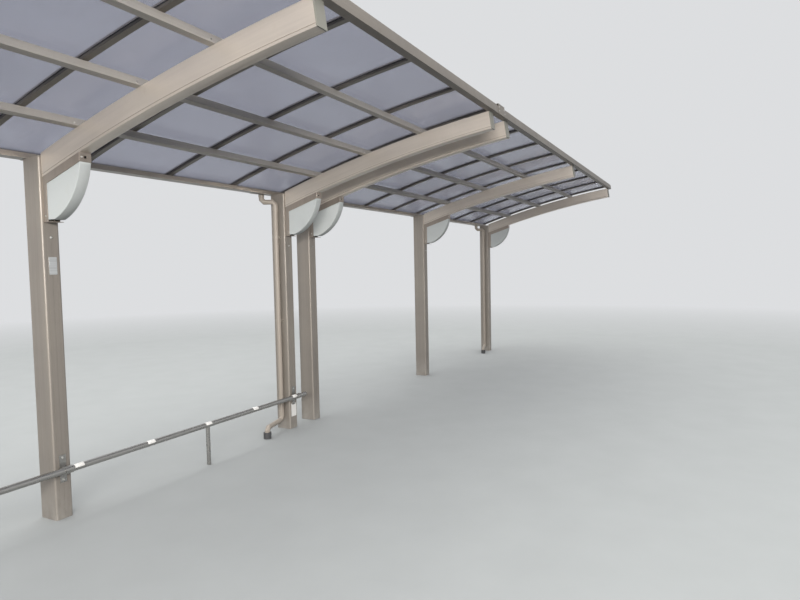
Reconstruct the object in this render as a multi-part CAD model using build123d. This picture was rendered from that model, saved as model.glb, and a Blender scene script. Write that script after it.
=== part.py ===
from build123d import *
import math
import os

# Bike shelter: a row of two linked cantilever roofs on single posts, in anodised aluminium.
# X runs along the row, +Y is the rear, -Y the open front, +Z is up, all in millimetres.
# The origin is at the foot of the first post, on the middle of its inner rib.
os.makedirs("parts", exist_ok=True)

# Layout along the row
rafter_pitch = 580
unit_panels = (7, 8)
end_post_inset = 95
unit_gap = 98

# Posts
post_width = 92
post_depth = 134
post_height = 1875
post_wall = 2.5
post_rib = 3
post_corner = 11
post_groove = 3
post_groove_depth = 0.8
post_groove_places = (-25, 0, 25)
post_cap_thickness = 3

# Arms, measured along the top edge, which is one long arc
arm_reach = 1725
arm_rise = 401
arm_bow = 39
arm_heel = 19
arm_width = 62
arm_height = 115
arm_wall = 3
arm_setback = 32
arm_groove = 2.5
arm_groove_depth = 1
arm_groove_lift = 12
arm_cap_thickness = 6
arm_cap_proud = 1.5
arm_cap_corner = 5

# Knee under each arm: folded bracket and moulded cover
knee_drop = 318
knee_reach = 305
knee_strip = 35
knee_band = 46
knee_sheet = 3
knee_lip_reach = 66
knee_lip_drop = 9
knee_bolt_hole = 13
bracket_width = 64
cover_width = 60
cover_wall = 2.5
cover_flat = 45
cover_bulge_reach = 222
cover_bulge_height = 91

# Roof members, stacked on the arms
seat = 0.3
sheet_gap = 0.6
purlin_first = 310
purlin_pitch = 460
purlin_count = 3
purlin_width = 33
purlin_height = 38
purlin_wall = 2
rafter_width = 30
rafter_height = 13
rafter_waist = 2
rafter_inset = 2.5
side_rafter_height = 27
panel_thickness = 3
panel_side_gap = 3
cap_height = 9
rafter_rear = 135
panel_rear = 150

# Front beam
front_depth = 42
front_wall = 2.5
front_groove_depth = 22
front_lip = 13
front_fascia = 51
front_step = 3
front_chamfer = 9

# Rear beam and the gutter behind it, in one length for each bay
rear_front = 28
rear_depth = 30
rear_wall = 2.5
gutter_width = 66
gutter_height = 52
gutter_wall = 2
gutter_round = 28
gutter_lip = 9
gutter_joint_gap = 2
gutter_collar = 64
outlet_lead = 80
end_plate = 2
beam_cap_thickness = 3

# Cover over the joint of the two front beams
joint_lap = 15
joint_sheet = 2

# Downpipes, each beside the last post of its unit
pipe_radius = 19
pipe_wall = 2
pipe_gap = 5
outlet_offset = 125
elbow_length = 30
outlet_drop = 60
pipe_low_run = 80
collar_x = 330
collar_y = 70
collar_radius = 29
collar_height = 48
socket_wall = 3
socket_length = 42
clip_low = 868
clip_drop = 347
clip_height = 18
clip_plate = 2
clip_plate_width = 66

# Lean rail along the first unit
rail_radius = 17
rail_wall = 2
rail_stand_off = 45
rail_height = 265
rail_overhang = 95
rail_bracket_width = 36
rail_bracket_height = 145
rail_plate = 3
saddle_length = 44
saddle_wall = 3
stanchion_radius = 13.5
rail_cap_thickness = 4
rail_cap_edge = 1.5
tag_pitch = 457
tag_count = 9
tag_offset = 11
tag_length = 52
tag_width = 26
tag_thickness = 2

# Places worked out along the row
unit_lengths = [count * rafter_pitch for count in unit_panels]
unit_starts = [-end_post_inset, -end_post_inset + unit_lengths[0] + unit_gap + rafter_width]
unit_ends = [start + length for start, length in zip(unit_starts, unit_lengths)]
post_places = [
    [start + end_post_inset, (start + end) / 2, end - end_post_inset]
    for start, end in zip(unit_starts, unit_ends)
]
all_posts = post_places[0] + post_places[1]
post_front = -post_depth / 2
post_rear = post_depth / 2
knee_bottom = post_height - knee_drop
pipe_top_run = post_height - outlet_drop
clip_heights = (clip_low, post_height - clip_drop)

# The roof curve: centre, radius and angles of the arms' top edge
chord = math.hypot(arm_reach, arm_rise)
roof_radius = (chord ** 2 / 4 + arm_bow ** 2) / (2 * arm_bow)
heel_y = post_front
heel_z = post_height + arm_heel
centre_y = heel_y - arm_reach / 2 - arm_rise / chord * (roof_radius - arm_bow)
centre_z = heel_z + arm_rise / 2 - arm_reach / chord * (roof_radius - arm_bow)
heel_angle = math.atan2(heel_z - centre_z, heel_y - centre_y)
tip_angle = math.atan2(heel_z + arm_rise - centre_z, heel_y - arm_reach - centre_y)
arm_length = roof_radius * (tip_angle - heel_angle)

# Heights of the stacked roof members above the arms' top edge
rafter_low = purlin_height
rafter_top = rafter_low + rafter_height
panel_low = rafter_top + sheet_gap
panel_top = panel_low + panel_thickness
cap_low = panel_top + sheet_gap
cap_top = cap_low + cap_height
front_height = cap_low + front_lip
side_low = cap_top - side_rafter_height


def angle_at(run):
    """Angle of the roof curve at a distance forward from the posts' front face."""
    return heel_angle + run / roof_radius


def on_roof(run, lift):
    """Point (y, z) at a distance along the roof curve and a height square to it."""
    radius = roof_radius + lift
    angle = angle_at(run)
    return (centre_y + radius * math.cos(angle), centre_z + radius * math.sin(angle))


def roof_height(y, lift):
    """Height z of the roof curve over a place y."""
    return centre_z + math.sqrt((roof_radius + lift) ** 2 - (y - centre_y) ** 2)


def roof_plane(x, run, lift=0):
    """Plane across the row: its own x runs down the roof to the rear, its y square out of it."""
    angle = angle_at(run)
    y, z = on_roof(run, lift)
    return Plane(origin=(x, y, z), x_dir=(0, math.sin(angle), -math.cos(angle)), z_dir=(1, 0, 0))


def roof_band(start, end, low, high):
    """Section between two heights over the roof curve, as a face in the YZ plane."""
    middle = (start + end) / 2
    outline = [
        ThreePointArc(on_roof(start, high), on_roof(middle, high), on_roof(end, high)),
        Line(on_roof(end, high), on_roof(end, low)),
        ThreePointArc(on_roof(end, low), on_roof(middle, low), on_roof(start, low)),
        Line(on_roof(start, low), on_roof(start, high)),
    ]
    return make_face(outline)


def along_x(profile, x, width):
    """Solid of a section drawn in YZ, centred on x and as wide as given."""
    start = Plane(origin=(x - width / 2, 0, 0), x_dir=(0, 1, 0), z_dir=(1, 0, 0))
    return extrude(start * profile, width)


def outline_face(points):
    """Face inside a closed outline of straight edges."""
    return make_face(Polyline(*points, close=True))


def in_front_of_posts(profile):
    """The part of a YZ section that lies in front of the posts' front face."""
    reach = 2 * arm_reach
    keep = Pos(post_front - reach / 2, heel_z) * Rectangle(reach, reach)
    return profile & keep


def save(name, solids):
    """Writes one named sub-part, of one or more solids."""
    shape = Compound(children=solids) if len(solids) > 1 else solids[0]
    export_step(shape, f"parts/{name}.step")


# Posts
def post(x):
    """Extruded post: four walls, an inner rib and shallow grooves on the faces, open at both ends."""
    outside = RectangleRounded(post_width, post_depth, post_corner)
    inner_width = post_width - 2 * post_wall
    inner_depth = post_depth - 2 * post_wall
    inside = RectangleRounded(inner_width, inner_depth, post_corner - post_wall)
    section = outside - inside + Rectangle(inner_width + post_wall, post_rib)
    for place in post_groove_places:
        for face in (post_front, post_rear):
            section -= Pos(place, face) * Rectangle(post_groove, 2 * post_groove_depth)
    return Pos(x, 0, 0) * extrude(section, post_height)


def post_cap(x):
    """Lid on the part of the post's top that the rear beam leaves free."""
    length = rear_front - post_front
    lid = Box(post_width, length, post_cap_thickness, align=(Align.CENTER, Align.MIN, Align.MIN))
    return Pos(x, post_front, post_height) * lid


# Arms
def arm_end():
    """Distance at which the arms end, short of the front beam's face."""
    return arm_length - arm_setback


def arm(x):
    """Curved hollow arm, cut plumb where it meets the post, with a fine groove along each web."""
    outside = in_front_of_posts(roof_band(-arm_height, arm_end(), -arm_height, 0))
    inside = roof_band(-arm_height, arm_end() + arm_wall, arm_wall - arm_height, -arm_wall)
    body = along_x(outside, x, arm_width) - along_x(inside, x, arm_width - 2 * arm_wall)
    groove_low = arm_groove_lift - arm_height
    groove = roof_band(-arm_height, arm_end() + arm_wall, groove_low, groove_low + arm_groove)
    for side in (-1, 1):
        body -= along_x(groove, x + side * arm_width / 2, 2 * arm_groove_depth)
    return body


def arm_cap(x):
    """Moulded cap on the arm's tip, a little proud at the sides and below, with rounded corners."""
    across = roof_plane(x, arm_end())
    face = Plane(origin=across.origin, x_dir=(1, 0, 0), z_dir=-across.x_dir).offset(seat)
    height = arm_height + arm_cap_proud
    outline = Pos(0, -height / 2) * RectangleRounded(arm_width + 2 * arm_cap_proud, height, arm_cap_corner)
    return extrude(face * outline, arm_cap_thickness)


# Knees
def knee_top(y):
    """Height of the arm's lower edge over a place y."""
    return roof_height(y, -arm_height)


def knee_bracket(x):
    """Folded bracket: a strip on the post, a band under the arm and lips at both ends."""
    front = post_front - knee_reach
    strip = post_front - knee_strip
    lip_top = knee_bottom - knee_lip_drop
    lip_bottom = lip_top - knee_sheet
    outline = [
        (post_front, lip_bottom),
        (strip, lip_bottom),
        (strip, knee_top(strip) - knee_band),
        (front, knee_top(front) - knee_band),
        (front, knee_top(front) - seat),
        (post_front, knee_top(post_front) - seat),
    ]
    body = along_x(outline_face(outline), x, bracket_width)
    hollow = [
        (post_front - knee_sheet, lip_top),
        (strip - knee_sheet, lip_top),
        (strip - knee_sheet, knee_top(strip) - knee_band - knee_sheet),
        (front + knee_sheet, knee_top(front) - knee_band - knee_sheet),
        (front + knee_sheet, knee_top(front) - knee_sheet - seat),
        (post_front - knee_sheet, knee_top(post_front) - knee_sheet - seat),
    ]
    body -= along_x(outline_face(hollow), x, bracket_width - 2 * knee_sheet)
    lip = Box(bracket_width, knee_lip_reach, knee_sheet, align=(Align.CENTER, Align.MAX, Align.MAX))
    body += Pos(x, post_front, lip_top) * lip
    hole = Cylinder(knee_bolt_hole / 2, 4 * knee_sheet)
    body -= Pos(x, front, knee_top(front) - knee_band / 2) * Rot(90, 0, 0) * hole
    body -= Pos(x, post_front - (knee_strip + knee_lip_reach) / 2, lip_top) * hole
    return body


def knee_cover(x):
    """Moulded quarter-round cover, open towards the post and the bracket."""
    front = post_front - knee_reach
    rear = post_front - knee_strip - seat
    flat = rear - cover_flat
    bulge = (post_front - cover_bulge_reach, knee_bottom + cover_bulge_height)

    def shell(wall):
        """Outline of the cover, or of the hollow inside it."""
        high_front = knee_top(front) - knee_band - seat
        high_rear = knee_top(rear) - knee_band - seat
        slope = (high_front - high_rear) / (front - rear)
        top_front = (front + wall, high_front + wall * slope)
        edges = [
            Line((rear, knee_bottom + wall), (flat, knee_bottom + wall)),
            ThreePointArc(
                (flat, knee_bottom + wall),
                (bulge[0] + wall * math.sqrt(0.5), bulge[1] + wall * math.sqrt(0.5)),
                top_front,
            ),
            Line(top_front, (rear, high_rear)),
            Line((rear, high_rear), (rear, knee_bottom + wall)),
        ]
        return make_face(edges)

    outside = along_x(shell(0), x, cover_width)
    return outside - along_x(shell(cover_wall), x, cover_width - 2 * cover_wall)


# Roof
def box_section(width, height, wall):
    """Hollow rectangular section standing on its own origin."""
    outside = Pos(0, height / 2) * Rectangle(width, height)
    return outside - Pos(0, height / 2) * Rectangle(width - 2 * wall, height - 2 * wall)


def purlin(unit, number):
    """Purlin across the arms of one unit, from end rafter to end rafter."""
    run = purlin_first + number * purlin_pitch
    start = unit_starts[unit] - rafter_width / 2
    length = unit_lengths[unit] + rafter_width
    section = box_section(purlin_width, purlin_height - 2 * seat, purlin_wall)
    return extrude(roof_plane(start, run, seat) * section, length)


def rafter_end():
    """Distance at which the rafters meet the front beam."""
    return arm_length - front_depth - seat


def rafters(unit):
    """Rafters under the panels' joints, with a narrower waist for the gaskets along their top."""
    bars = []
    shoulder = rafter_top - rafter_waist
    for number in range(unit_panels[unit] + 1):
        x = unit_starts[unit] + number * rafter_pitch
        foot = along_x(roof_band(-rafter_rear, rafter_end(), rafter_low, shoulder), x, rafter_width)
        waist_width = rafter_width - 2 * rafter_inset
        waist = along_x(roof_band(-rafter_rear, rafter_end(), shoulder, rafter_top), x, waist_width)
        bars.append(foot + waist)
    return bars


def rafter_caps(unit):
    """Cover bars over the panels' joints, with a turned-down outer edge at the unit's ends."""
    bars = []
    last = unit_panels[unit]
    for number in range(last + 1):
        x = unit_starts[unit] + number * rafter_pitch
        bar = along_x(roof_band(-rafter_rear, rafter_end(), cap_low, cap_top), x, rafter_width)
        if number in (0, last):
            side = -1 if number == 0 else 1
            edge_x = x + side * (rafter_width / 2 + panel_side_gap / 2 + seat)
            edge_band = roof_band(-rafter_rear, rafter_end(), side_low, cap_top)
            edge = along_x(edge_band, edge_x, panel_side_gap)
            link_x = x + side * (rafter_width / 2 + seat / 2)
            link = along_x(roof_band(-rafter_rear, rafter_end(), cap_low, cap_top), link_x, seat)
            bar = bar + link + edge
        bars.append(bar)
    return bars


def roof_panels(unit):
    """Curved translucent sheets, one between each pair of rafters."""
    sheets = []
    width = rafter_pitch - panel_side_gap
    front = arm_length - front_depth + front_groove_depth - seat
    for number in range(unit_panels[unit]):
        x = unit_starts[unit] + (number + 0.5) * rafter_pitch
        sheets.append(along_x(roof_band(-panel_rear, front, panel_low, panel_top), x, width))
    return sheets


# Front beam
def front_outline():
    """Outline of the front beam: stepped fascia, sloped top and a groove for the panels."""
    groove = front_depth - front_groove_depth
    return [
        (0, 0),
        (front_depth, 0),
        (front_depth, rafter_top - seat),
        (groove, rafter_top - seat),
        (groove, cap_low),
        (front_depth, cap_low),
        (front_depth, front_height),
        (front_step + front_chamfer, front_height),
        (front_step, front_height - front_chamfer),
        (front_step, front_fascia),
        (0, front_fascia),
    ]


def front_beam(unit):
    """Hollow front beam of one unit, seated on the arms' ends and reaching past them."""
    start = unit_starts[unit] - rafter_width / 2
    length = unit_lengths[unit] + rafter_width
    section = outline_face(front_outline())
    inner_height = rafter_top - 2 * front_wall
    inner_width = front_depth - 2 * front_wall - front_step
    centre = (front_step + front_wall + inner_width / 2, front_wall + inner_height / 2)
    section -= Pos(*centre) * Rectangle(inner_width, inner_height)
    return extrude(roof_plane(start, arm_length, seat) * section, length)


def front_joint():
    """Folded cover that bridges the gap between the two front beams, over the fascia and top."""
    start = unit_ends[0] + rafter_width / 2 - joint_lap
    length = unit_gap + 2 * joint_lap
    low = joint_sheet + seat
    top = front_height + low
    outline = [
        (-low, -low),
        (front_depth, -low),
        (front_depth, -seat),
        (-seat, -seat),
        (-seat, front_height + seat),
        (front_depth, front_height + seat),
        (front_depth, top),
        (-low, top),
    ]
    return extrude(roof_plane(start, arm_length, seat) * outline_face(outline), length)


# Rear beam and gutter
def rear_outline(wall):
    """Outline of the rear beam, or of the hollow inside it."""
    front = rear_front + wall
    rear = rear_front + rear_depth - wall
    front_top = roof_height(front, rafter_low) - seat - wall
    rear_top = roof_height(rear, rafter_low) - seat - wall
    low = post_height + wall
    return outline_face([(front, low), (rear, low), (rear, rear_top), (front, front_top)])


def rear_beam(unit):
    """Closed beam of one unit that stands on the posts and carries the rafters' rear ends."""
    centre = (unit_starts[unit] + unit_ends[unit]) / 2
    section = rear_outline(0) - rear_outline(rear_wall)
    return along_x(section, centre, unit_lengths[unit] + rafter_width)


def gutter_outline(offset):
    """Outline of the gutter's outer face, moved inwards by an offset, rounded at the rear."""
    front = gutter_front() + offset
    rear = gutter_front() + gutter_width - offset
    low = post_height + offset
    high = post_height + gutter_height
    body = outline_face([(front, low), (rear, low), (rear, high), (front, high)])
    corner = body.vertices().sort_by(Axis.Y)[:2].sort_by(Axis.X)[-1]
    return fillet(corner, gutter_round - offset)


def gutter_front():
    """Place of the gutter's front wall, against the rear beam."""
    return rear_front + rear_depth + seat


def gutter_joints(unit):
    """Places of the joints of one unit's gutter: at the middle post and before the outlet."""
    return (post_places[unit][1], outlet_place(unit) - outlet_lead)


def gutter_lengths(unit):
    """Start and end of each length of one unit's gutter; the short last one carries the outlet."""
    start = unit_starts[unit] - rafter_width / 2
    end = unit_ends[unit] + rafter_width / 2
    gap = gutter_joint_gap / 2
    lengths = []
    for joint in gutter_joints(unit):
        lengths.append((start, joint - gap))
        start = joint + gap
    lengths.append((start, end))
    return lengths


def gutter(unit):
    """Open gutter of one unit, in three lengths, with the outlet hole in the last one."""
    section = gutter_outline(0) - gutter_outline(gutter_wall)
    rear = gutter_front() + gutter_width
    lip_top = post_height + gutter_height
    section += Pos(rear - gutter_lip / 2, lip_top - gutter_wall / 2) * Rectangle(gutter_lip, gutter_wall)
    room = roof_band(-panel_rear, rafter_rear, side_low - seat, cap_top + gutter_height)
    section -= room
    hole = Cylinder(pipe_radius - pipe_wall, 4 * gutter_wall)
    lengths = []
    for start, end in gutter_lengths(unit):
        lengths.append(along_x(section, (start + end) / 2, end - start))
    lengths[-1] -= Pos(outlet_place(unit), outlet_y(), post_height) * hole
    return lengths


def gutter_ends():
    """Plates that close the outer ends of both gutters."""
    plates = []
    room = roof_band(-panel_rear, rafter_rear, side_low - seat, cap_top + gutter_height)
    for unit in (0, 1):
        half = rafter_width / 2 + end_plate / 2
        for x in (unit_starts[unit] - half, unit_ends[unit] + half):
            plates.append(along_x(gutter_outline(0) - room, x, end_plate))
    return plates


def gutter_collars():
    """Collars that wrap the joints of the gutter's lengths from outside."""
    sheet = gutter_outline(-gutter_wall - seat) - gutter_outline(-seat)
    reach = 2 * gutter_width
    behind_post = Pos(post_rear + seat + reach / 2, post_height) * Rectangle(reach, reach)
    band = sheet & behind_post
    return [along_x(band, joint, gutter_collar) for unit in (0, 1) for joint in gutter_joints(unit)]


# Caps of the beams' ends
def beam_caps():
    """Moulded caps on the ends of the purlins, the front beams and the rear beams."""
    purlin_top = side_low - 2 * seat
    purlin_end = Pos(0, purlin_top / 2) * Rectangle(purlin_width, purlin_top)
    front_end = outline_face(front_outline())
    rear_end = rear_outline(0) - roof_band(-panel_rear, rafter_rear, side_low - seat, cap_top)
    caps = []
    for unit in (0, 1):
        left = unit_starts[unit] - rafter_width / 2 - seat - beam_cap_thickness
        right = unit_ends[unit] + rafter_width / 2 + seat
        for x in (left, right):
            for number in range(purlin_count):
                run = purlin_first + number * purlin_pitch
                caps.append(extrude(roof_plane(x, run, seat) * purlin_end, beam_cap_thickness))
            caps.append(extrude(roof_plane(x, arm_length, seat) * front_end, beam_cap_thickness))
            caps.append(along_x(rear_end, x + beam_cap_thickness / 2, beam_cap_thickness))
    return caps


# Downpipes
def pipe_place(unit):
    """Place along the row of a unit's downpipe, beside its last post and on the post's middle."""
    return post_places[unit][-1] - post_width / 2 - pipe_gap - pipe_radius


def outlet_place(unit):
    """Place along the row of the outlet under the gutter."""
    return post_places[unit][-1] - outlet_offset


def outlet_y():
    """Place of the outlet across the row, in the middle of the gutter."""
    return gutter_front() + gutter_width / 2


def pipe_route(unit):
    """Centre line of a downpipe, from the outlet to the collar, with two mitres in each elbow."""
    x = pipe_place(unit)
    foot_x = post_places[unit][-1] - collar_x
    corners = [
        (outlet_place(unit), outlet_y(), post_height - seat),
        (outlet_place(unit), outlet_y(), pipe_top_run),
        (x, 0, pipe_top_run),
        (x, 0, pipe_low_run),
        (foot_x, -collar_y, pipe_low_run),
        (foot_x, -collar_y, collar_height / 2),
    ]
    corners = [Vector(*corner) for corner in corners]
    mitre = elbow_length - pipe_radius * math.tan(math.pi / 8)
    points = [corners[0]]
    for before, corner, after in zip(corners, corners[1:], corners[2:]):
        points.append(corner + (before - corner).normalized() * mitre)
        points.append(corner + (after - corner).normalized() * mitre)
    points.append(corners[-1])
    return Polyline(*points)


def downpipe(unit):
    """Round pipe swept along its route."""
    route = pipe_route(unit)
    ring = Circle(pipe_radius) - Circle(pipe_radius - pipe_wall)
    start = Plane(origin=route @ 0, z_dir=route % 0)
    return sweep(start * ring, path=route, transition=Transition.RIGHT)


def sleeve(inner, wall, length):
    """Short round sleeve standing on its own origin."""
    ring = Circle(inner + wall) - Circle(inner)
    return extrude(ring, length)


def pipe_sockets():
    """Sockets of the fittings: under the outlet and at the head and foot of each downpipe."""
    sockets = []
    for unit in (0, 1):
        x = pipe_place(unit)
        ring = sleeve(pipe_radius + seat, socket_wall, socket_length)
        outlet_ring = sleeve(pipe_radius + seat, socket_wall, socket_length / 2)
        outlet_z = post_height - seat - socket_length / 2
        sockets.append(Pos(outlet_place(unit), outlet_y(), outlet_z) * outlet_ring)
        sockets.append(Pos(x, 0, pipe_top_run - elbow_length - socket_length) * ring)
        sockets.append(Pos(x, 0, pipe_low_run + elbow_length) * ring)
    return sockets


def floor_collar(unit):
    """Collar round the pipe where it goes into the ground."""
    x = post_places[unit][-1] - collar_x
    ring = sleeve(pipe_radius + seat, collar_radius - pipe_radius - seat, collar_height)
    return Pos(x, -collar_y, 0) * ring


def pipe_clips():
    """Clips that hold the downpipes: a plate on the post's side, a neck and a ring round the pipe."""
    clips = []
    against_post = (Align.MAX, Align.CENTER, Align.MIN)
    for unit in (0, 1):
        side = post_places[unit][-1] - post_width / 2
        neck_length = pipe_gap - seat
        plate = Box(clip_plate, clip_plate_width, clip_height, align=against_post)
        neck = Box(neck_length, clip_height, clip_height, align=against_post)
        for z in clip_heights:
            ring = Pos(pipe_place(unit), 0, z) * sleeve(pipe_radius + seat, socket_wall, clip_height)
            clips.append(ring + Pos(side, 0, z) * (plate + neck))
    return clips


# Lean rail
def rail_y():
    """Place of the lean rail, in front of the posts."""
    return post_front - rail_stand_off


def lean_rail():
    """Round rail along the first unit, hollow, from end to end."""
    start = post_places[0][0] - rail_overhang
    length = post_places[0][-1] + rail_overhang - start
    ring = Circle(rail_radius) - Circle(rail_radius - rail_wall)
    return extrude(Plane(origin=(start, rail_y(), rail_height), z_dir=(1, 0, 0)) * ring, length)


def rail_caps():
    """Round caps with an eased edge on the ends of the lean rail."""
    disc = Cylinder(rail_radius, rail_cap_thickness, align=(Align.CENTER, Align.CENTER, Align.MIN))
    disc = chamfer(disc.edges().sort_by(Axis.Z)[-1], rail_cap_edge)
    caps = []
    for place, side in ((post_places[0][0], -1), (post_places[0][-1], 1)):
        end = place + side * (rail_overhang + seat)
        caps.append(Plane(origin=(end, rail_y(), rail_height), z_dir=(side, 0, 0)) * disc)
    return caps


def rail_brackets():
    """Brackets on the posts: a screwed plate, a neck and a saddle round the rail."""
    brackets = []
    for x in post_places[0]:
        against_post = (Align.CENTER, Align.MAX, Align.CENTER)
        plate = Box(rail_bracket_width, rail_plate, rail_bracket_height, align=against_post)
        neck_length = rail_stand_off - rail_radius - seat
        neck = Box(saddle_length / 2, neck_length, saddle_length / 2, align=against_post)
        ring = Circle(rail_radius + seat + saddle_wall) - Circle(rail_radius + seat)
        saddle_plane = Plane(origin=(x - saddle_length / 2, rail_y(), rail_height), z_dir=(1, 0, 0))
        saddle = extrude(saddle_plane * ring, saddle_length)
        brackets.append(Pos(x, post_front, rail_height) * (plate + neck) + saddle)
    return brackets


def stanchions():
    """Short posts under the rail, one in the middle of each bay."""
    legs = []
    for left, right in zip(post_places[0][:-1], post_places[0][1:]):
        leg = Cylinder(stanchion_radius, rail_height, align=(Align.CENTER, Align.CENTER, Align.MIN))
        place = Plane(origin=(left, rail_y(), rail_height), z_dir=(1, 0, 0))
        room = extrude(place * Circle(rail_radius + seat), right - left)
        legs.append(Pos((left + right) / 2, rail_y(), 0) * leg - room)
    return legs


def rail_tag(x):
    """Small blank curved plate that lies on the rail, or on a saddle where there is one."""
    reach = (saddle_length + tag_length) / 2 + seat
    on_saddle = any(abs(x - post_x) < reach for post_x in post_places[0])
    radius = rail_radius + seat + (saddle_wall + seat if on_saddle else 0)
    ring = Circle(radius + tag_thickness) - Circle(radius)
    strip = Pos(0, radius) * Rectangle(tag_width, 2 * radius)
    place = Plane(origin=(x - tag_length / 2, rail_y(), rail_height), x_dir=(0, 1, 0), z_dir=(1, 0, 0))
    return extrude(place * (ring & strip), tag_length)


def rail_tags():
    """The tags along the rail, one for each place, from the last post back to the first."""
    last = post_places[0][-1] - tag_offset
    return [rail_tag(last - number * tag_pitch) for number in range(tag_count)]


def build():
    """Writes every sub-part of the shelter."""
    for number, x in enumerate(all_posts, 1):
        save(f"post_{number}", [post(x)])
        save(f"arm_{number}", [arm(x)])
    save("post_caps", [post_cap(x) for x in all_posts])
    save("arm_end_caps", [arm_cap(x) for x in all_posts])
    save("knee_brackets", [knee_bracket(x) for x in all_posts])
    for number, x in enumerate(all_posts, 1):
        save(f"knee_cover_{number}", [knee_cover(x)])
    for unit in (0, 1):
        label = unit + 1
        save(f"purlins_{label}", [purlin(unit, number) for number in range(purlin_count)])
        save(f"rafters_{label}", rafters(unit))
        save(f"rafter_caps_{label}", rafter_caps(unit))
        save(f"roof_panels_{label}", roof_panels(unit))
        save(f"front_beam_{label}", [front_beam(unit)])
        save(f"rear_beam_{label}", [rear_beam(unit)])
        save(f"gutter_{label}", gutter(unit))
        save(f"downpipe_{label}", [downpipe(unit)])
        save(f"floor_collar_{label}", [floor_collar(unit)])
    save("front_beam_joint", [front_joint()])
    save("gutter_end_plates", gutter_ends())
    save("gutter_collars", gutter_collars())
    save("beam_end_caps", beam_caps())
    save("pipe_sockets", pipe_sockets())
    save("pipe_clips", pipe_clips())
    save("lean_rail", [lean_rail()])
    save("rail_end_caps", rail_caps())
    save("rail_brackets", rail_brackets())
    save("rail_stanchions", stanchions())
    save("rail_tags", rail_tags())


build()
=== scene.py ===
import math

import bmesh
import bpy
from mathutils import Matrix, Vector


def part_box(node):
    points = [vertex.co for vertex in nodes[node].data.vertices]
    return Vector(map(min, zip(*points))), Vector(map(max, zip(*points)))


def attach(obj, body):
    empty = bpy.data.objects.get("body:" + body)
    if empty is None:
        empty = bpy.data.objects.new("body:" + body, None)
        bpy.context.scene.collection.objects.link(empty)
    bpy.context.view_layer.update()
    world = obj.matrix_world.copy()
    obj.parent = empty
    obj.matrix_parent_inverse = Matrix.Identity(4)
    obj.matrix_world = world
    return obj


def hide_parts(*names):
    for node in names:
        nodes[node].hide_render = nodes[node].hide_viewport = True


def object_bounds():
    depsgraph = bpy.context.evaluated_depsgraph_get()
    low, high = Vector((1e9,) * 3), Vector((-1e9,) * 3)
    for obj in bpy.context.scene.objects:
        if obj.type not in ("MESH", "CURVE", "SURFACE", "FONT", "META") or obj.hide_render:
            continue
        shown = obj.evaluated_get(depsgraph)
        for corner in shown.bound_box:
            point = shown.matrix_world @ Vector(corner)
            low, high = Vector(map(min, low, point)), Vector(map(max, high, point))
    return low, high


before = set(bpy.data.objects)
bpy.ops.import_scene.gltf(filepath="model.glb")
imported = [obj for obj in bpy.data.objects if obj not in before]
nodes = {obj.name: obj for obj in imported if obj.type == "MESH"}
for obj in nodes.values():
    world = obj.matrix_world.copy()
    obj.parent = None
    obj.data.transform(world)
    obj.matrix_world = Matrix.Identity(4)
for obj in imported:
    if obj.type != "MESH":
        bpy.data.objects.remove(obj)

cad_low, cad_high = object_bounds()
post_names = sorted(name for name in nodes if name.startswith("post_") and name[5:].isdigit())
arm_names = sorted(name for name in nodes if name.startswith("arm_") and name[4:].isdigit())
cover_names = sorted(name for name in nodes if name.startswith("knee_cover_"))

# Camera of the photograph, in the frame of the model
camera_place = (0.037, -3.091, 1.282)
camera_turn = 0.4871
camera_tilt = 0.0546
camera_roll = -0.0202
camera_lens = 27.0
sensor_width = 36.0

# Sizes that the details follow, in metres
post_width = 0.092
post_depth = 0.134
arm_reach = 1.725
arm_rise = 0.401
arm_bow = 0.039
arm_heel = 0.019
arm_height = 0.115
purlin_runs = (0.310, 0.770, 1.230)
purlin_width = 0.033
rafter_width = 0.030
rafter_top = 0.051
rafter_waist = 0.002
rafter_inset = 0.0025
rafter_pitch = 0.580
rafter_rear = 0.135
sheet_low = 0.0516
sheet_top = 0.0546
cover_low = 0.0552
cover_top = 0.0642
front_depth = 0.042
side_edge = 0.0183
groove_lift = -0.10175  # middle of the arms' groove, from the roof curve
groove_width = 0.0030
post_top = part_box("post_1")[1][2]
post_front = -post_depth / 2
post_rear = post_depth / 2
sharp_angle = math.radians(35)
units = ("_1", "_2")


def middle(name):
    """Place along the row of the middle of a CAD node."""
    low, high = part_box(name)
    return (low[0] + high[0]) / 2


post_places = [middle(name) for name in post_names]
first_rail_posts = post_places[:3]

# The roof curve
chord = math.hypot(arm_reach, arm_rise)
roof_radius = (chord ** 2 / 4 + arm_bow ** 2) / (2 * arm_bow)
centre_y = post_front - arm_reach / 2 - arm_rise / chord * (roof_radius - arm_bow)
centre_z = post_top + arm_heel + arm_rise / 2 - arm_reach / chord * (roof_radius - arm_bow)
heel_angle = math.atan2(post_top + arm_heel - centre_z, post_front - centre_y)
tip_angle = math.atan2(post_top + arm_heel + arm_rise - centre_z, post_front - arm_reach - centre_y)
arm_length = roof_radius * (tip_angle - heel_angle)


def on_roof(run, lift):
    """Point (y, z) at a distance along the roof curve and a height square to it."""
    angle = heel_angle + run / roof_radius
    radius = roof_radius + lift
    return centre_y + radius * math.cos(angle), centre_z + radius * math.sin(angle)


def roof_frame(x, run, lift):
    """Matrix of a place on the roof: x along the row, y down the roof to the rear, z out of it."""
    angle = heel_angle + run / roof_radius
    y, z = on_roof(run, lift)
    rear = Vector((0, math.sin(angle), -math.cos(angle)))
    out = Vector((0, math.cos(angle), math.sin(angle)))
    turn = Matrix((Vector((1, 0, 0)), rear, out)).transposed().to_4x4()
    return Matrix.Translation((x, y, z)) @ turn


# Material building blocks
def new_material(name):
    """Empty node material, as (material, node tree, shader)."""
    material = bpy.data.materials.new(name)
    material.use_nodes = True
    tree = material.node_tree
    return material, tree, tree.nodes["Principled BSDF"]


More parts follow.
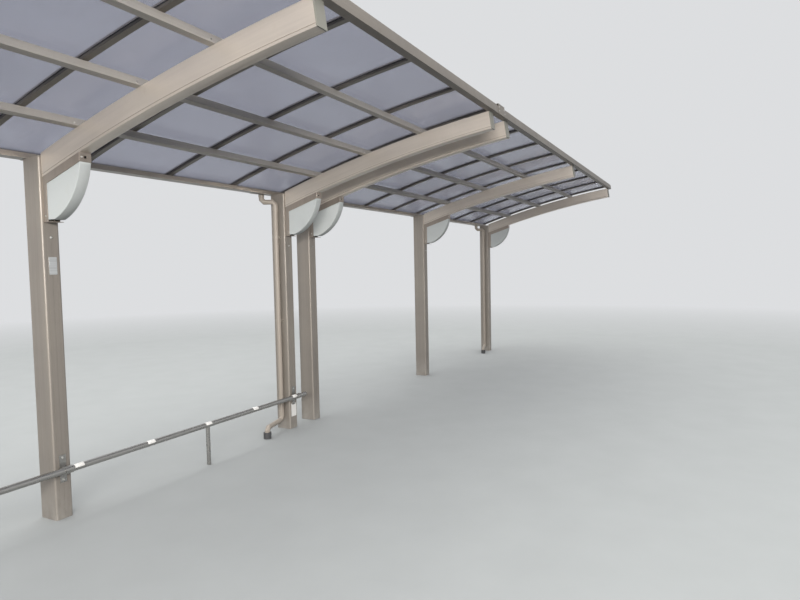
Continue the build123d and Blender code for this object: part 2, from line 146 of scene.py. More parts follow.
def calculate(tree, operation, *values):
    """Result of a maths node on sockets and numbers."""
    node = tree.nodes.new("ShaderNodeMath")
    node.operation = operation
    for socket, value in zip(node.inputs, values):
        if isinstance(value, float):
            socket.default_value = value
        else:
            tree.links.new(value, socket)
    return node.outputs["Value"]


def object_axes(tree):
    """Sockets of the X, Y and Z of the object coordinates."""
    coordinates = tree.nodes.new("ShaderNodeTexCoord")
    parts = tree.nodes.new("ShaderNodeSeparateXYZ")
    tree.links.new(coordinates.outputs["Object"], parts.inputs["Vector"])
    return parts.outputs["X"], parts.outputs["Y"], parts.outputs["Z"]


def join_axes(tree, **parts):
    """Vector socket from sockets for its axes."""
    node = tree.nodes.new("ShaderNodeCombineXYZ")
    for axis, socket in parts.items():
        tree.links.new(socket, node.inputs[axis])
    return node.outputs["Vector"]


def vector_length(tree, vector):
    """Length of a vector socket."""
    node = tree.nodes.new("ShaderNodeVectorMath")
    node.operation = "LENGTH"
    tree.links.new(vector, node.inputs[0])
    return node.outputs["Value"]


def texture_place(tree, scale):
    """Object coordinates stretched by a scale for each axis."""
    coordinates = tree.nodes.new("ShaderNodeTexCoord")
    mapping = tree.nodes.new("ShaderNodeMapping")
    mapping.inputs["Scale"].default_value = scale
    tree.links.new(coordinates.outputs["Object"], mapping.inputs["Vector"])
    return mapping.outputs["Vector"]


def curve_parts(tree):
    """Sockets of a place on the roof curve: x, distance along the curve and distance from its centre."""
    x, y, z = object_axes(tree)
    rear = calculate(tree, "SUBTRACT", y, centre_y)
    up = calculate(tree, "SUBTRACT", z, centre_z)
    run = calculate(tree, "MULTIPLY", calculate(tree, "ARCTAN2", up, rear), roof_radius)
    return x, run, vector_length(tree, join_axes(tree, Y=rear, Z=up))


def curve_place(tree, scale):
    """Coordinates that follow the roof curve, stretched by a scale for each direction."""
    x, run, lift = curve_parts(tree)
    stretched = tree.nodes.new("ShaderNodeVectorMath")
    stretched.operation = "MULTIPLY"
    tree.links.new(join_axes(tree, X=x, Y=run, Z=lift), stretched.inputs[0])
    stretched.inputs[1].default_value = scale
    return stretched.outputs["Vector"]


def noise(tree, scale, size, detail=4.0, roughness=0.55, place=texture_place):
    """Noise with its own stretch, as a socket from 0 to 1."""
    texture = tree.nodes.new("ShaderNodeTexNoise")
    texture.inputs["Scale"].default_value = size
    texture.inputs["Detail"].default_value = detail
    texture.inputs["Roughness"].default_value = roughness
    tree.links.new(place(tree, scale), texture.inputs["Vector"])
    return texture.outputs["Fac"]


def ramp(tree, socket, stops):
    """Colour ramp over a socket, from (place, colour) stops."""
    node = tree.nodes.new("ShaderNodeValToRGB")
    elements = node.color_ramp.elements
    while len(elements) < len(stops):
        elements.new(0.5)
    for element, (place, colour) in zip(elements, stops):
        element.position = place
        element.color = (*colour, 1)
    tree.links.new(socket, node.inputs["Fac"])
    return node.outputs["Color"]


def blend_colours(tree, factor, first, second, mode="MIX"):
    """Mix of two colour sockets by a factor socket or number."""
    node = tree.nodes.new("ShaderNodeMix")
    node.data_type = "RGBA"
    node.blend_type = mode
    if isinstance(factor, float):
        node.inputs["Factor"].default_value = factor
    else:
        tree.links.new(factor, node.inputs["Factor"])
    tree.links.new(first, node.inputs["A"])
    tree.links.new(second, node.inputs["B"])
    return node.outputs["Result"]


def darken(tree, base, strength, socket, stops):
    """Base colour multiplied by a ramp over a socket."""
    return blend_colours(tree, strength, base, ramp(tree, socket, stops), "MULTIPLY")


def plain_colour(tree, colour):
    """Socket of one colour, to be mixed in by a mask."""
    node = tree.nodes.new("ShaderNodeRGB")
    node.outputs[0].default_value = (*colour, 1)
    return node.outputs[0]


def stretch_range(tree, socket, low, high, new_low, new_high):
    """Socket values mapped from one range to another."""
    node = tree.nodes.new("ShaderNodeMapRange")
    values = {"From Min": low, "From Max": high, "To Min": new_low, "To Max": new_high}
    for key, value in values.items():
        node.inputs[key].default_value = value
    tree.links.new(socket, node.inputs["Value"])
    return node.outputs["Result"]


def add_bump(tree, shader, height, strength, distance):
    """Bump from a height socket on the shader."""
    node = tree.nodes.new("ShaderNodeBump")
    node.inputs["Strength"].default_value = strength
    node.inputs["Distance"].default_value = distance
    tree.links.new(height, node.inputs["Height"])
    tree.links.new(node.outputs["Normal"], shader.inputs["Normal"])


def tinted(colour, factor):
    """Colour made lighter or darker by a factor."""
    return tuple(min(1.0, part * factor) for part in colour)


unchanged = (1.0, 1.0, 1.0)
even = (1, 1, 1)
dust_colour = (0.42, 0.40, 0.37)
dust_height = 0.22


def ground_dust(tree, patches):
    """Mask of splashed dust that fades out a hand above the ground."""
    low = stretch_range(tree, object_axes(tree)[2], 0.0, dust_height, 0.75, 0.0)
    spread = stretch_range(tree, patches, 0.35, 0.7, 0.15, 1.0)
    return calculate(tree, "MULTIPLY", low, spread)


def groove_shade(tree, base):
    """Base colour with a dark line in the groove of the arms, which follows the roof curve."""
    line = calculate(tree, "COMPARE", curve_parts(tree)[2], roof_radius + groove_lift, groove_width / 2)
    return darken(tree, base, 1.0, line, [(0.0, unchanged), (1.0, (0.55, 0.53, 0.50))])


# Materials
def anodised(name, colour, draw, metallic=0.6, roughness=0.38, place=texture_place, rain=0.0, groove=False):
    """Champagne anodised extrusion: draw lines, soft bands, rain streaks and dust by the ground."""
    material, tree, shader = new_material(name)
    wide_draw = tuple(part * 0.16 for part in draw)
    lines = noise(tree, draw, 1.0, detail=3.0, place=place)
    bands = noise(tree, wide_draw, 1.0, detail=2.0, place=place)
    cloud = noise(tree, even, 2.2, detail=5.0)
    streaks = noise(tree, (46, 46, 1.1), 1.0, detail=6.0, roughness=0.65)
    specks = noise(tree, (1, 1, 0.6), 15.0, detail=7.0, roughness=0.7)
    base = ramp(tree, lines, [(0.3, tinted(colour, 0.95)), (0.7, tinted(colour, 1.04))])
    base = darken(tree, base, 1.0, bands, [(0.35, (0.93, 0.93, 0.94)), (0.65, unchanged)])
    base = darken(tree, base, 1.0, cloud, [(0.35, (0.91, 0.91, 0.93)), (0.65, unchanged)])
    base = darken(tree, base, rain, streaks, [(0.58, unchanged), (0.74, (0.86, 0.85, 0.83))])
    base = darken(tree, base, 0.6, specks, [(0.62, unchanged), (0.78, (0.84, 0.82, 0.79))])
    if groove:
        base = groove_shade(tree, base)
    dusty = ground_dust(tree, specks)
    base = blend_colours(tree, dusty, base, plain_colour(tree, dust_colour))
    tree.links.new(base, shader.inputs["Base Color"])
    clean = stretch_range(tree, dusty, 0.0, 1.0, metallic, 0.1)
    tree.links.new(clean, shader.inputs["Metallic"])
    dull = stretch_range(tree, specks, 0.3, 0.8, roughness - 0.05, roughness + 0.14)
    tree.links.new(dull, shader.inputs["Roughness"])
    add_bump(tree, shader, lines, 0.08, 0.0004)
    return material


def moulded(name, colour, roughness=0.5):
    """Moulded plastic: fine grain, faint yellowing and dust in patches."""
    material, tree, shader = new_material(name)
    fine = noise(tree, even, 900.0, detail=2.0)
    cloud = noise(tree, even, 6.0, detail=6.0, roughness=0.65)
    base = ramp(tree, cloud, [(0.3, tinted(colour, 0.94)), (0.55, colour), (0.8, tinted(colour, 1.03))])
    base = darken(tree, base, 0.5, cloud, [(0.5, unchanged), (0.85, (0.80, 0.78, 0.74))])
    tree.links.new(base, shader.inputs["Base Color"])
    dull = stretch_range(tree, cloud, 0.2, 0.8, roughness - 0.06, roughness + 0.1)
    tree.links.new(dull, shader.inputs["Roughness"])
    add_bump(tree, shader, fine, 0.12, 0.0003)
    return material


def translucent_sheet(name, colour):
    """Blue-grey satin roof sheet that lets light through, with dust and dried rain marks."""
    material, tree, shader = new_material(name)
    cloud = noise(tree, even, 1.4, detail=6.0)
    marks = noise(tree, (9, 2, 2), 5.0, detail=7.0, roughness=0.7)
    base = ramp(tree, cloud, [(0.3, tinted(colour, 0.95)), (0.7, tinted(colour, 1.05))])
    base = darken(tree, base, 0.5, marks, [(0.45, unchanged), (0.8, (0.88, 0.87, 0.85))])
    tree.links.new(base, shader.inputs["Base Color"])
    dull = stretch_range(tree, marks, 0.3, 0.8, 0.16, 0.28)
    tree.links.new(dull, shader.inputs["Roughness"])
    shader.inputs["Transmission Weight"].default_value = 0.86
    shader.inputs["IOR"].default_value = 1.2
    grain = noise(tree, even, 420.0, detail=2.0)
    add_bump(tree, shader, grain, 0.05, 0.0005)
    return material


def steel(name, colour, roughness, metallic=0.9):
    """Brushed stainless steel with faint scratches and handling marks."""
    material, tree, shader = new_material(name)
    lines = noise(tree, (3, 260, 260), 1.0)
    cloud = noise(tree, even, 9.0, detail=6.0, roughness=0.7)
    base = ramp(tree, lines, [(0.3, tinted(colour, 0.86)), (0.7, tinted(colour, 1.08))])
    tree.links.new(base, shader.inputs["Base Color"])
    shader.inputs["Metallic"].default_value = metallic
    dull = stretch_range(tree, cloud, 0.3, 0.75, roughness - 0.06, roughness + 0.16)
    tree.links.new(dull, shader.inputs["Roughness"])
    add_bump(tree, shader, lines, 0.06, 0.0003)
    return material


def rubber(name, colour):
    """Dull black rubber of gaskets."""
    material, tree, shader = new_material(name)
    cloud = noise(tree, even, 30.0, detail=5.0)
    base = ramp(tree, cloud, [(0.3, tinted(colour, 0.8)), (0.7, tinted(colour, 1.4))])
    tree.links.new(base, shader.inputs["Base Color"])
    dull = stretch_range(tree, cloud, 0.3, 0.7, 0.6, 0.8)
    tree.links.new(dull, shader.inputs["Roughness"])
    return material


# Colours, and how fine the draw lines are along each axis. The frame members share one champagne finish;
# where a recipe darkens or lightens it, that is painted shade or painted light.
champagne = (0.50, 0.455, 0.40)
post_draw = (160, 160, 1.2)
row_draw = (1.2, 160, 160)
curve_draw = (160, 2, 60)
fold_draw = (60, 60, 2)
recipes = {
    # Posts: the champagne darkened to 0.60, painted shade.
    "post_metal": (anodised, tinted(champagne, 0.60), dict(
        draw=post_draw, metallic=0.4, roughness=0.46, rain=0.7)),
    # Rear beams and gutter: the champagne darkened to 0.64, painted shade.
    "beam_metal": (anodised, tinted(champagne, 0.64), dict(draw=row_draw, metallic=0.4)),
    # Front beams: the champagne darkened to 0.36, painted shade.
    "front_metal": (anodised, tinted(champagne, 0.36), dict(draw=row_draw, metallic=0.2, roughness=0.48)),
    # Purlins: darker and greyer than the champagne, painted shade and a painted blue-grey sky reflection.
    "purlin_metal": (anodised, (0.42, 0.40, 0.37), dict(draw=row_draw, metallic=0.2, roughness=0.5)),
    # Rafters: the champagne darkened to 0.33, painted shade under the sheets.
    "rafter_metal": (anodised, tinted(champagne, 0.33), dict(draw=curve_draw, place=curve_place)),
    # Arms: the champagne lightened to 1.20, painted light on their webs.
    "arm_metal": (anodised, tinted(champagne, 1.20), dict(
        draw=curve_draw, metallic=0.5, roughness=0.34, place=curve_place, groove=True)),
    "bar_metal": (anodised, tinted(champagne, 0.95), dict(draw=curve_draw, place=curve_place, rain=0.3)),
    "bracket_metal": (anodised, (0.32, 0.28, 0.24), dict(draw=fold_draw, roughness=0.36)),
    "cover_plastic": (moulded, (0.49, 0.525, 0.53), {}),
    # End caps: a darker grey than the caps' own, painted shade against the strong light on their faces.
    "cap_plastic": (moulded, (0.175, 0.175, 0.155), {}),
    "pipe_plastic": (moulded, (0.35, 0.312, 0.27), dict(roughness=0.42)),
    "collar_plastic": (moulded, (0.065, 0.066, 0.07), dict(roughness=0.55)),
    "tag_plastic": (moulded, (0.80, 0.80, 0.78), dict(roughness=0.35)),
    "roof_sheet": (translucent_sheet, (0.475, 0.485, 0.565), {}),
    "rail_steel": (steel, (0.37, 0.365, 0.35), dict(roughness=0.25, metallic=0.88)),
    "screw_steel": (steel, (0.66, 0.66, 0.64), dict(roughness=0.24)),
    "dark_steel": (steel, (0.10, 0.10, 0.10), dict(roughness=0.4)),
    "gasket_rubber": (rubber, (0.03, 0.03, 0.032), {}),
    "silver_film": (steel, (0.62, 0.63, 0.63), dict(roughness=0.42)),
}
materials = {name: make(name, colour, **options) for name, (make, colour, options) in recipes.items()}


def both_units(*stems):
    """Names of the nodes that each roof unit has one of."""
    return [stem + unit for stem in stems for unit in units]


painted = {
    "post_metal": [*post_names, "post_caps"],
    "arm_metal": arm_names,
    "cover_plastic": cover_names,
    "front_metal": [*both_units("front_beam"), "front_beam_joint"],
    "beam_metal": [*both_units("rear_beam", "gutter"), "gutter_end_plates", "gutter_collars"],
    "purlin_metal": both_units("purlins"),
    "rafter_metal": both_units("rafters"),
    "bar_metal": both_units("rafter_caps"),
    "roof_sheet": both_units("roof_panels"),
    "bracket_metal": ["knee_brackets"],
    "cap_plastic": ["arm_end_caps", "beam_end_caps"],
    "pipe_plastic": [*both_units("downpipe"), "pipe_sockets", "pipe_clips"],
    "collar_plastic": [*both_units("floor_collar"), "rail_end_caps"],
    "rail_steel": ["lean_rail", "rail_brackets", "rail_stanchions"],
}
# Names, width of the rounding, and its segments
softened = (
    (arm_names, 0.0016, 2),
    (cover_names, 0.0022, 3),
    (both_units("purlins"), 0.0010, 2),
    (both_units("front_beam"), 0.0012, 2),
    (["arm_end_caps"], 0.0015, 2),
    (["knee_brackets"], 0.0010, 2),
)
weld_distance = 0.00002


def soften(name, width, segments):
    """Rounds the sharp edges of a CAD node by a modifier."""
    piece = nodes[name]
    weld = piece.modifiers.new("weld", "WELD")
    weld.merge_threshold = weld_distance
    bevel = piece.modifiers.new("bevel", "BEVEL")
    bevel.width = width
    bevel.segments = segments
    bevel.limit_method = "ANGLE"
    bevel.angle_limit = sharp_angle
    bevel.harden_normals = True


def dress_frame():
    """Materials and rounded edges of the CAD nodes."""
    for material, names in painted.items():
        for name in names:
            mesh = nodes[name].data
            mesh.materials.clear()
            mesh.materials.append(materials[material])
    for names, width, segments in softened:
        for name in names:
            soften(name, width, segments)


# Pieces made for the looks
def finish_piece(name, builder, material):
    """Turns a bmesh into a piece of the object that rides on the frame."""
    bmesh.ops.recalc_face_normals(builder, faces=builder.faces)
    mesh = bpy.data.meshes.new(name)
    builder.to_mesh(mesh)
    builder.free()
    mesh.materials.append(materials[material])
    mesh.shade_smooth()
    mesh.set_sharp_from_angle(angle=sharp_angle)
    piece = bpy.data.objects.new(name, mesh)
    bpy.context.collection.objects.link(piece)
    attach(piece, "root")
    return piece


def join_rings(builder, first, second):
    """Faces between two rings of vertices, or between a ring and a single vertex."""
    steps = max(len(first), len(second))
    for step in range(steps):
        following = (step + 1) % steps
        if len(first) == 1:
            builder.faces.new((first[0], second[step], second[following]))
        elif len(second) == 1:
            builder.faces.new((first[step], second[0], first[following]))
        else:
            builder.faces.new((first[step], second[step], second[following], first[following]))


def lathe(builder, profile, place, radius, height, steps=16):
    """Adds a turned form, from (part of the radius, part of the height) points from the axis outwards."""
    rings = []
    for across, up in profile:
        reach = across * radius
        ring = []
        for step in range(steps if reach else 1):
            angle = 2 * math.pi * step / steps
            point = Vector((reach * math.cos(angle), reach * math.sin(angle), up * height))
            ring.append(builder.verts.new(place @ point))
        rings.append(ring)
    for first, second in zip(rings, rings[1:]):
        join_rings(builder, first, second)


def sweep_rings(builder, rings):
    """Adds a closed bar through rings of points, with flat ends."""
    rings = [[builder.verts.new(point) for point in ring] for ring in rings]
    for first, second in zip(rings, rings[1:]):
        join_rings(builder, first, second)
    builder.faces.new(rings[0])
    builder.faces.new(list(reversed(rings[-1])))


def roof_strip(builder, x, profile, start, end, steps=24):
    """Adds a strip along the roof curve, from a profile of (distance from x, height) points."""
    rings = []
    for step in range(steps + 1):
        run = start + (end - start) * step / steps
        rings.append([(x + side, *on_roof(run, lift)) for side, lift in profile])
    sweep_rings(builder, rings)


def facing(place, direction):
    """Matrix at a place whose z axis points in a direction."""
    turn = Vector(direction).to_track_quat("Z", "Y").to_matrix().to_4x4()
    return Matrix.Translation(place) @ turn


pan_profile = (
    (0, 0.45), (0.30, 0.45), (0.34, 1), (0.55, 0.98), (0.75, 0.80),
    (0.84, 0.45), (0.85, 0.12), (1, 0.12), (1, 0), (0, 0),
)
washer_profile = ((0, 0.25), (1.25, 0.25), (1.25, 0), (0, 0))
hex_profile = ((0, 1), (0.86, 1), (1, 0.9), (1, 0.25), (0, 0.25))


def pan_head(builder, place, direction, radius, height):
    """Pan head screw with a socket in its middle, on a thin washer."""
    lathe(builder, pan_profile, facing(place, direction), radius, height)


def hex_bolt(builder, place, direction, radius, height):
    """Hexagon bolt head on a round washer."""
    matrix = facing(place, direction)
    lathe(builder, washer_profile, matrix, radius, height, 24)
    lathe(builder, hex_profile, matrix, radius, height, 6)


plate_rim = ((0, 0), (0, 0.6), (0.4, 1))  # inset and height, in parts of the thickness
corner_steps = 4


def rounded_plate(builder, place, direction, width, height, thickness, corner):
    """Thin plate with rounded corners and an eased rim, lying on a face."""
    matrix = facing(place, direction)
    rings = []
    for inset, lift in plate_rim:
        radius = corner - inset * thickness
        ring = []
        for quarter in range(4):
            side_x = 1 if quarter in (0, 3) else -1
            side_y = 1 if quarter in (0, 1) else -1
            for step in range(corner_steps + 1):
                angle = math.pi / 2 * (quarter + step / corner_steps)
                x = side_x * (width / 2 - corner) + radius * math.cos(angle)
                y = side_y * (height / 2 - corner) + radius * math.sin(angle)
                ring.append(matrix @ Vector((x, y, lift * thickness)))
        rings.append(ring)
    sweep_rings(builder, rings)


# Screws, bolts and rivets
post_bolt_drop = 0.405
rear_bolt_drops = (0.205, 0.445)
bolt_radius = 0.0065
bolt_height = 0.006
rail_screw_height = bolt_height * 0.8
grub_radius = bolt_radius * 0.8
grub_height = bolt_height * 0.5
small_radius = 0.0045
small_height = 0.003
edge_radius = small_radius * 0.8
edge_height = small_height * 0.6
rivet_radius = 0.003
rivet_height = 0.0016
joint_screw_radius = rivet_radius * 1.2
joint_screw_height = rivet_height * 1.2


def post_bolts():
    """Bolts on the front and rear faces of the posts."""
    builder = bmesh.new()
    for x in post_places:
        pan_head(builder, (x, post_front, post_top - post_bolt_drop), (0, -1, 0), bolt_radius, bolt_height)
        for drop in rear_bolt_drops:
            hex_bolt(builder, (x, post_rear, post_top - drop), (0, 1, 0), bolt_radius, bolt_height)
    finish_piece("post_bolts", builder, "screw_steel")


purlin_screw_lift = 0.012
purlin_screw_side = 0.050


def purlin_screws():
    """Screws through the purlins' front faces, beside each arm."""
    builder = bmesh.new()
    for x in post_places:
        for run in purlin_runs:
            matrix = roof_frame(x - purlin_screw_side, run, purlin_screw_lift)
            front = matrix @ Vector((0, -purlin_width / 2, 0))
            out = matrix.to_3x3() @ Vector((0, -1, 0))
            pan_head(builder, front, out, small_radius, small_height)
    finish_piece("purlin_screws", builder, "screw_steel")


knee_reach = 0.305
knee_strip = 0.035
knee_band = 0.046
knee_drop = 0.318
bracket_width = 0.064
bracket_screw_side = 0.019
bracket_screw_lift = 0.020


def bracket_screws():
    """Small screw beside the hole in each bracket's end, and one low on each side of its strip."""
    builder = bmesh.new()
    front = post_front - knee_reach
    arm_low = centre_z + math.sqrt((roof_radius - arm_height) ** 2 - (front - centre_y) ** 2)
    for x in post_places:
        end = (x - bracket_screw_side, front, arm_low - knee_band / 2)
        pan_head(builder, end, (0, -1, 0), small_radius, small_height)
        for side in (-1, 1):
            low = (x + side * bracket_width / 2, post_front - knee_strip / 2,
                   post_top - knee_drop + bracket_screw_lift)
            pan_head(builder, low, (side, 0, 0), small_radius, small_height)
    finish_piece("bracket_screws", builder, "screw_steel")


rail_bracket_lift = 0.265
rail_screw_step = 0.058
rail_plate = 0.003


def rail_screws():
    """Screws at the top and bottom of the rail brackets' plates."""
    builder = bmesh.new()
    for x in first_rail_posts:
        for step in (-rail_screw_step, rail_screw_step):
            place = (x, post_front - rail_plate, rail_bracket_lift + step)
            pan_head(builder, place, (0, -1, 0), bolt_radius, rail_screw_height)
    finish_piece("rail_screws", builder, "screw_steel")


def rafter_places(unit):
    """Places along the row of one unit's rafters."""
    low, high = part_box("rafters" + unit)
    start = low[0] + rafter_width / 2
    count = round((high[0] - low[0] - rafter_width) / rafter_pitch)
    return [start + number * rafter_pitch for number in range(count + 1)]


cover_screw_rear = -0.060
cover_screw_front = 1.640
side_screw_lift = 0.048


def cover_screws():
    """Screws on the cover bars over each purlin and near both ends, and on the outer side edges."""
    builder = bmesh.new()
    runs = (cover_screw_rear, *purlin_runs, cover_screw_front)
    for unit in units:
        places = rafter_places(unit)
        for x in places:
            for run in runs:
                matrix = roof_frame(x, run, cover_top)
                out = matrix.to_3x3() @ Vector((0, 0, 1))
                pan_head(builder, matrix.translation, out, small_radius, small_height)
        for x, side in ((places[0] - side_edge, -1), (places[-1] + side_edge, 1)):
            for run in runs:
                place = roof_frame(x, run, side_screw_lift).translation
                pan_head(builder, place, (side, 0, 0), edge_radius, edge_height)
    finish_piece("cover_screws", builder, "screw_steel")


end_plate = 0.002
plate_rivets = ((0.067, 0.010), (0.067, 0.040), (0.092, 0.009), (0.117, 0.040))
collar_rivet_side = 0.022
collar_rivet_lift = 0.036
outlet_lead = 0.205
last_posts = (post_places[2], post_places[5])
collar_places = (
    post_places[1], last_posts[0] - outlet_lead,
    post_places[4], last_posts[1] - outlet_lead,
)


def gutter_rivets():
    """Rivets on the gutter's end plates and on the rear of its collars."""
    builder = bmesh.new()
    low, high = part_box("gutter_end_plates")
    gap_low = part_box("gutter_1")[1][0]
    gap_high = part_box("gutter_2")[0][0]
    ends = ((low[0], -1), (gap_low + end_plate, 1), (gap_high - end_plate, -1), (high[0], 1))
    for x, side in ends:
        for y, lift in plate_rivets:
            pan_head(builder, (x, y, post_top + lift), (side, 0, 0), rivet_radius, rivet_height)
    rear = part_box("gutter_collars")[1][1]
    for x in collar_places:
        for side in (-collar_rivet_side, collar_rivet_side):
            place = (x + side, rear, post_top + collar_rivet_lift)
            pan_head(builder, place, (0, 1, 0), rivet_radius, rivet_height)
    finish_piece("gutter_rivets", builder, "screw_steel")


clip_lifts = (0.868, 1.528)
clip_height = 0.018
clip_plate = 0.002
clip_screw_side = 0.026
floor_collar_radius = 0.029
floor_collar_x = 0.330
floor_collar_y = 0.070
floor_collar_lift = 0.034
grub_turns = (0.35, 2.45, 4.55)


def pipe_screws():
    """Screws of the pipe clips' plates."""
    builder = bmesh.new()
    for x in last_posts:
        for lift in clip_lifts:
            for side in (-clip_screw_side, clip_screw_side):
                place = (x - post_width / 2 - clip_plate, side, lift + clip_height / 2)
                pan_head(builder, place, (-1, 0, 0), small_radius, small_height)
    finish_piece("pipe_screws", builder, "dark_steel")


def collar_screws():
    """Dark grub screws round the collars on the ground."""
    builder = bmesh.new()
    for x in last_posts:
        centre = Vector((x - floor_collar_x, -floor_collar_y, floor_collar_lift))
        for turn in grub_turns:
            out = Vector((math.cos(turn - math.pi / 2), math.sin(turn - math.pi / 2), 0))
            pan_head(builder, centre + out * floor_collar_radius, out, grub_radius, grub_height)
    finish_piece("collar_screws", builder, "dark_steel")


joint_screw_lifts = (0.020, 0.046)
joint_screw_inset = 0.0075
joint_face = arm_length + 0.0023


def joint_screws():
    """Screws on the face of the cover between the two front beams."""
    builder = bmesh.new()
    low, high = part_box("front_beam_joint")
    for x in (low[0] + joint_screw_inset, high[0] - joint_screw_inset):
        for lift in joint_screw_lifts:
            place = roof_frame(x, joint_face, lift).translation
            out = roof_frame(x, arm_length, lift).to_3x3() @ Vector((0, -1, 0))
            pan_head(builder, place, out, joint_screw_radius, joint_screw_height)
    finish_piece("joint_screws", builder, "screw_steel")


# Gaskets
gasket_proud = 0.0008
gasket_chamfer = 0.0006
gasket_gap = 0.0001
bead_proud = 0.0014
bead_flare = 0.0002
bead_gap = 0.00005
lip_rise = 0.0010
lip_foot = 0.0006
gasket_start = 0.001 - rafter_rear
gasket_end = arm_length - front_depth - 0.0004


def mirrored(profile):
    """The profile on the other side of its middle."""
    return [(-side, lift) for side, lift in reversed(profile)]


def sheet_gaskets():
    """Rubber gaskets under and over the sheets, along both sides of every rafter."""
    builder = bmesh.new()
    edge = rafter_width / 2
    waist = edge - rafter_inset
    rim = edge + gasket_proud
    shoulder = rafter_top - rafter_waist
    under = [(waist, shoulder), (rim - gasket_chamfer, shoulder), (rim, shoulder + gasket_chamfer),
             (rim, sheet_low - gasket_gap), (waist, sheet_low - gasket_gap)]
    bead = edge + bead_proud
    over = [(waist, sheet_top + bead_gap), (bead, sheet_top + bead_gap), (bead + bead_flare, cover_low),
            (edge + lip_foot, cover_low + lip_rise), (edge + gasket_gap, cover_low + lip_rise),
            (edge + gasket_gap, cover_low - bead_gap), (waist, cover_low - bead_gap)]
    for unit in units:
        places = rafter_places(unit)
        for x in places:
            sides = (1,) if x == places[0] else (-1,) if x == places[-1] else (-1, 1)
            for side in sides:
                for profile in (under, over):
                    shape = profile if side > 0 else mirrored(profile)
                    roof_strip(builder, x, shape, gasket_start, gasket_end)
    finish_piece("sheet_gaskets", builder, "gasket_rubber")


# Bare plates
label_length = 0.052
label_pitch = 0.457
label_shift = -0.040
label_gap = 0.0004
label_thickness = 0.0009
label_start = 8
label_end = 115
label_steps = 14
label_ends = ((-0.5, 0.5), (-0.48, 1.0), (0.48, 1.0), (0.5, 0.5))  # part of the length, part of the thickness


def rail_labels():
    """Blank white labels wrapped over the top and front of the rail."""
    builder = bmesh.new()
    low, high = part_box("lean_rail")
    axis_y = (low[1] + high[1]) / 2
    axis_z = (low[2] + high[2]) / 2
    inner = (high[2] - low[2]) / 2 + label_gap
    first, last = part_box("rail_tags")
    count = round((last[0] - first[0] - label_length) / label_pitch)
    for number in range(count + 1):
        middle_x = last[0] - label_length / 2 + label_shift - number * label_pitch
        rings = []
        for step_x, outer in label_ends:
            ring = []
            for thickness, steps in ((outer, range(label_steps + 1)), (0, range(label_steps, -1, -1))):
                radius = inner + thickness * label_thickness
                for step in steps:
                    angle = math.radians(label_start + (label_end - label_start) * step / label_steps)
                    ring.append((middle_x + step_x * label_length,
                                 axis_y - radius * math.cos(angle), axis_z + radius * math.sin(angle)))
            rings.append(ring)
        sweep_rings(builder, rings)
    labels = finish_piece("rail_labels", builder, "tag_plastic")
    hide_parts("rail_tags")


plate_corner = 0.003
# Name, material, place along the row, height of the middle, width, height, thickness
plates = (
    ("post_sticker", "silver_film", post_places[1] + 0.004, post_top - 0.550, 0.042, 0.090, 0.0006),
    ("post_plate", "tag_plastic", post_places[2] + 0.002, 0.150, 0.062, 0.105, 0.0010),
)


def bare_plates():
    """Blank silver sticker on the second post and blank white plate low on the third one."""
    for name, material, x, z, width, height, thickness in plates:
        builder = bmesh.new()
        rounded_plate(builder, (x, post_front, z), (0, -1, 0), width, height, thickness, plate_corner)
        finish_piece(name, builder, material)


# Stage, light and camera
backdrop_colour = (0.72, 0.73, 0.745)
floor_reach = 60.0
floor_drop = 0.0005
floor_fade_start = 7.0
floor_fade_end = 15.0


def background_rays(tree):
    """1 for the rays that see the plain background: from the camera, off metal and through the sheets."""
    path = tree.nodes.new("ShaderNodeLightPath")
    seen = calculate(tree, "MAXIMUM", path.outputs["Is Camera Ray"], path.outputs["Is Glossy Ray"])
    return calculate(tree, "MAXIMUM", seen, path.outputs["Is Transmission Ray"])


def floor_material():
    """Pale floor that fades into the backdrop far off, and throws little light back up."""
    material, tree, shader = new_material("floor_plain")
    cloud = noise(tree, even, 3.0, detail=6.0)
    pale = ramp(tree, cloud, [(0.3, (0.340, 0.358, 0.362)), (0.7, (0.358, 0.377, 0.381))])
    dark = plain_colour(tree, (0.080, 0.078, 0.075))
    base = blend_colours(tree, background_rays(tree), dark, pale)
    tree.links.new(base, shader.inputs["Base Color"])
    shader.inputs["Roughness"].default_value = 0.8
    coordinates = tree.nodes.new("ShaderNodeTexCoord")
    distance = vector_length(tree, coordinates.outputs["Object"])
    fade = stretch_range(tree, distance, floor_fade_start, floor_fade_end, 0.0, 1.0)
    glow = tree.nodes.new("ShaderNodeEmission")
    glow.inputs["Color"].default_value = (*backdrop_colour, 1)
    mix = tree.nodes.new("ShaderNodeMixShader")
    tree.links.new(fade, mix.inputs["Fac"])
    tree.links.new(shader.outputs["BSDF"], mix.inputs[1])
    tree.links.new(glow.outputs["Emission"], mix.inputs[2])
    tree.links.new(mix.outputs["Shader"], tree.nodes["Material Output"].inputs["Surface"])
    return material


def make_stage():
    """Pale floor under the shelter."""
    mesh = bpy.data.meshes.new("floor")
    corners = [(-floor_reach, -floor_reach, 0), (floor_reach, -floor_reach, 0),
               (floor_reach, floor_reach, 0), (-floor_reach, floor_reach, 0)]
    mesh.from_pydata(corners, [], [(0, 1, 2, 3)])
    floor = bpy.data.objects.new("floor", mesh)
    bpy.context.collection.objects.link(floor)
    floor.location = ((cad_low[0] + cad_high[0]) / 2, 0, -floor_drop)
    mesh.materials.append(floor_material())


sky_strength = 1.7
# Place from straight down, 0, to straight up, 1
sky_by_height = [
    (0.46, (0.04, 0.04, 0.045)),
    (0.555, (0.035, 0.036, 0.040)),
    (0.60, (0.20, 0.20, 0.21)),
    (0.645, (0.46, 0.46, 0.465)),
    (0.69, (0.66, 0.65, 0.65)),
    (0.85, (1.0, 0.99, 0.97)),
]


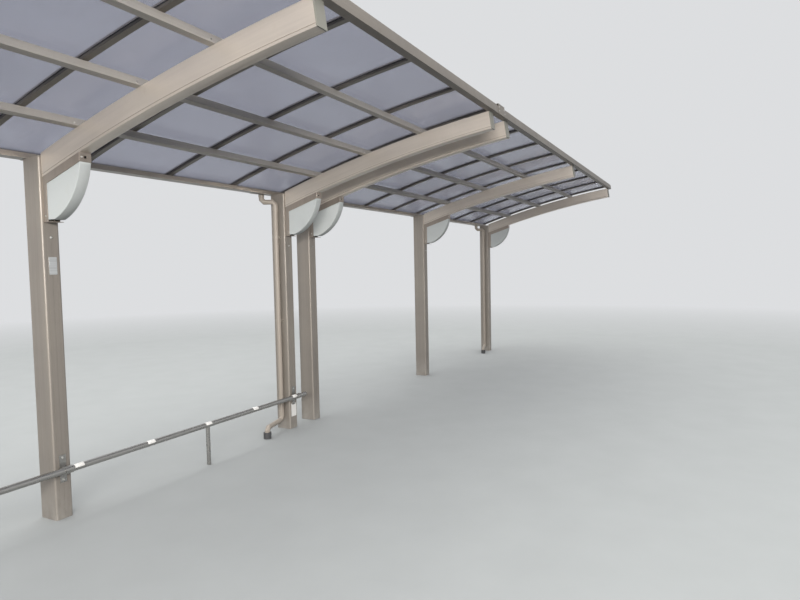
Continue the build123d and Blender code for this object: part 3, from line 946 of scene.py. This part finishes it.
def make_world():
    """Soft light from above, behind a plain pale backdrop."""
    world = bpy.data.worlds.new("studio")
    bpy.context.scene.world = world
    world.use_nodes = True
    tree = world.node_tree
    tree.nodes.clear()
    coordinates = tree.nodes.new("ShaderNodeTexCoord")
    split = tree.nodes.new("ShaderNodeSeparateXYZ")
    tree.links.new(coordinates.outputs["Generated"], split.inputs[0])
    height = stretch_range(tree, split.outputs["Z"], -1.0, 1.0, 0.0, 1.0)
    sky = tree.nodes.new("ShaderNodeBackground")
    tree.links.new(ramp(tree, height, sky_by_height), sky.inputs["Color"])
    sky.inputs["Strength"].default_value = sky_strength
    backdrop = tree.nodes.new("ShaderNodeBackground")
    backdrop.inputs["Color"].default_value = (*backdrop_colour, 1)
    mix = tree.nodes.new("ShaderNodeMixShader")
    tree.links.new(background_rays(tree), mix.inputs["Fac"])
    tree.links.new(sky.outputs[0], mix.inputs[1])
    tree.links.new(backdrop.outputs[0], mix.inputs[2])
    output = tree.nodes.new("ShaderNodeOutputWorld")
    tree.links.new(mix.outputs[0], output.inputs["Surface"])


def soft_light(name, place, target, width, height, watts, colour, spread=math.pi):
    """Large area lamp aimed at a target, which doesn't show through the sheets."""
    lamp = bpy.data.lights.new(name, "AREA")
    lamp.shape = "RECTANGLE"
    lamp.size = width
    lamp.size_y = height
    lamp.energy = watts
    lamp.color = colour
    lamp.spread = spread
    holder = bpy.data.objects.new(name, lamp)
    bpy.context.collection.objects.link(holder)
    holder.location = place
    holder.rotation_mode = "QUATERNION"
    holder.rotation_quaternion = (Vector(target) - Vector(place)).to_track_quat("-Z", "Y")
    holder.visible_transmission = False


def make_lights():
    """Soft low key from the open front and a top light over the roof."""
    soft_light("key", place=(-3.0, -4.6, 2.55), target=(2.4, -0.8, 2.45), width=4.5, height=0.8,
               watts=190.0, colour=(1.0, 0.96, 0.91), spread=math.radians(90))
    soft_light("top", place=(3.5, -0.8, 9.0), target=(3.5, -0.8, 0.0), width=8.0, height=8.0,
               watts=200.0, colour=(1.0, 1.0, 1.0))


def make_camera():
    """Camera at the photograph's place and angle."""
    lens = bpy.data.cameras.new("camera")
    lens.sensor_fit = "HORIZONTAL"
    lens.sensor_width = sensor_width
    lens.lens = camera_lens
    camera = bpy.data.objects.new("camera", lens)
    bpy.context.collection.objects.link(camera)
    quarter = math.pi / 2
    turn = Matrix.Rotation(camera_turn - quarter, 4, "Z")
    tilt = Matrix.Rotation(quarter - camera_tilt, 4, "X")
    roll = Matrix.Rotation(camera_roll, 4, "Z")
    camera.matrix_world = Matrix.Translation(camera_place) @ turn @ tilt @ roll
    bpy.context.scene.camera = camera


dress_frame()
post_bolts()
purlin_screws()
bracket_screws()
rail_screws()
cover_screws()
gutter_rivets()
pipe_screws()
collar_screws()
joint_screws()
sheet_gaskets()
rail_labels()
bare_plates()
make_stage()
make_world()
make_lights()
make_camera()
bpy.context.scene.view_settings.view_transform = "Standard"
